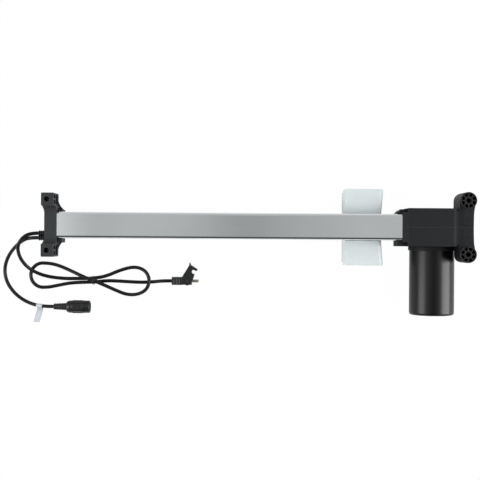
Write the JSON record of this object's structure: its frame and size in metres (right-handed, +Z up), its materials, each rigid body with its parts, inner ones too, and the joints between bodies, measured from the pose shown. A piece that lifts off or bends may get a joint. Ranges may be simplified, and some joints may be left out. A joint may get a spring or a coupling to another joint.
{
  "type": "electric linear actuator",
  "caption": "Slotted rail actuator: motor and worm turn a spindle that drives a slider block along the rail; lugs and bosses bolt it down, two cables end in socket and plug.",
  "frame": {"origin": "middle of the base of the actuator without its cables, on the surface it lies on", "axes": "+X along the rail from the front lugs to the rear bosses, +Y across it, away from the motor, +Z up, the way the mounting faces look"},
  "size_m": [0.581, 0.1698, 0.0755],
  "materials": {
    "rail_aluminium": "satin, bead blasted",
    "bracket_plastic": "matte moulded",
    "case_plastic": "matte moulded",
    "can_paint": "gloss black",
    "slider_plastic": "natural white, faintly translucent",
    "gear_plastic": "natural",
    "steel": "zinc plated",
    "bronze": "sintered",
    "magnet": "ferrite",
    "core_iron": "laminated",
    "copper": "enamelled",
    "carbon": "carbon",
    "brown_plastic": "phenolic",
    "switch_plastic": "moulded",
    "wire_plastic": "insulated",
    "gland_rubber": "matte",
    "cable_plastic": "satin",
    "plug_plastic": "moulded",
    "tag_plastic": "blank film",
    "nickel": "nickel plated"
  },
  "bodies": {
    "frame": {"rail": "rail_aluminium", "front_bracket": "bracket_plastic", "front_bush": "bronze", "front_rail_screws": "steel", "rear_rail_screws": "steel", "gear_case_upper": "case_plastic", "gear_case_lower": "case_plastic", "gear_case_screws": "steel", "front_bearing_ring": "steel", "rear_bearing_ring": "steel", "worm_tip_bush": "bronze", "motor_end_bell": "case_plastic", "motor_front_bush": "bronze", "motor_screws": "steel", "motor_can": "can_paint", "motor_magnets": "magnet", "motor_rear_bush": "bronze", "brush_holder": "brown_plastic", "carbon_brushes": "carbon", "limit_switches": "switch_plastic", "inner_wires": "wire_plastic", "cable_gland": "gland_rubber", "handset_cable": "cable_plastic", "supply_cable": "cable_plastic", "cable_tie": "cable_plastic", "cable_tag": "tag_plastic", "socket_relief": "plug_plastic", "socket_shell": "plug_plastic", "socket_insert": "plug_plastic", "plug_body": "plug_plastic", "plug_pins": "nickel", "latch_pin": "nickel"},
    "slider": {"slider_block": "slider_plastic", "drive_nut": "slider_plastic", "slider_screws": "steel"},
    "spindle": {"spindle": "steel", "worm_wheel": "gear_plastic", "wheel_key": "steel", "front_bearing_race": "steel", "rear_bearing_race": "steel", "spindle_clip": "steel"},
    "rotor": {"rotor_shaft": "steel", "worm": "steel", "armature_core": "core_iron", "armature_windings": "copper", "commutator": "copper"},
    "latch": {"plug_latch": "plug_plastic"}
  },
  "joints": [
    {"name": "rotor_spin", "type": "hinge", "parent": "frame", "child": "rotor", "pos_m": [0.2152, 0.0303, 0.0275], "axis": [0, 1, 0], "range_deg": [0, 237600]},
    {"name": "spindle_spin", "type": "hinge", "parent": "frame", "child": "spindle", "pos_m": [0.2152, 0.0303, 0.0495], "axis": [1, 0, 0], "range_deg": [-9901, 1]},
    {"name": "slider_slide", "type": "slide", "parent": "frame", "child": "slider", "axis": [-1, 0, 0], "range_m": [0, 0.33]},
    {"name": "plug_latch_swing", "type": "hinge", "parent": "frame", "child": "latch", "pos_m": [-0.0883, -0.0385, 0.0063], "axis": [0, 0, 1], "range_deg": [-62, 0]}
  ],
  "couplings": [
    {"joint": "spindle_spin", "follows": "rotor_spin", "ratio": -0.041667},
    {"joint": "slider_slide", "follows": "rotor_spin", "m_per_rad": 0.000079577}
  ]
}
